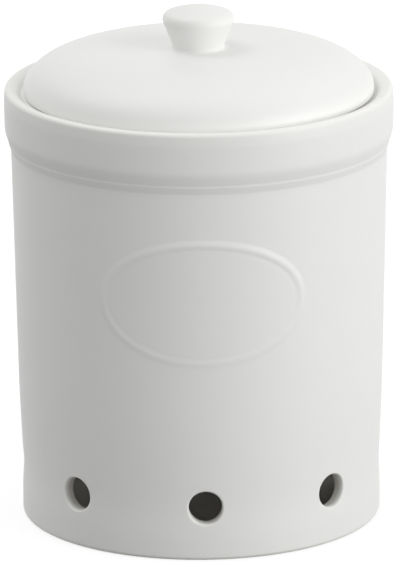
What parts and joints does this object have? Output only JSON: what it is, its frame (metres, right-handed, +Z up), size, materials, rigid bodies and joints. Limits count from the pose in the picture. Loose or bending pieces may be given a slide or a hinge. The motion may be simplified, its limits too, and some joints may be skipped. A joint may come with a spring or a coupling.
{
  "type": "onion storage jar",
  "caption": "Round ceramic onion jar with air vents round its foot, a raised oval on its front and a domed lift-off lid with a mushroom knob.",
  "frame": {"origin": "on the surface the jar stands on, under the middle of its foot", "axes": "+Z up along the jar's axis; the raised oval faces -Y; +X to the right seen from the front"},
  "size_m": [0.18, 0.18, 0.2407],
  "materials": {
    "jar_glaze": "satin",
    "lid_glaze": "satin",
    "knob_glaze": "satin"
  },
  "bodies": {
    "jar": {"jar_body": "jar_glaze"},
    "lid": {"lid": "lid_glaze", "lid_knob": "knob_glaze"}
  },
  "joints": [
    {"name": "lid_lift", "type": "slide", "parent": "jar", "child": "lid", "axis": [0, 0, 1], "range_m": [0, 0.12]}
  ]
}
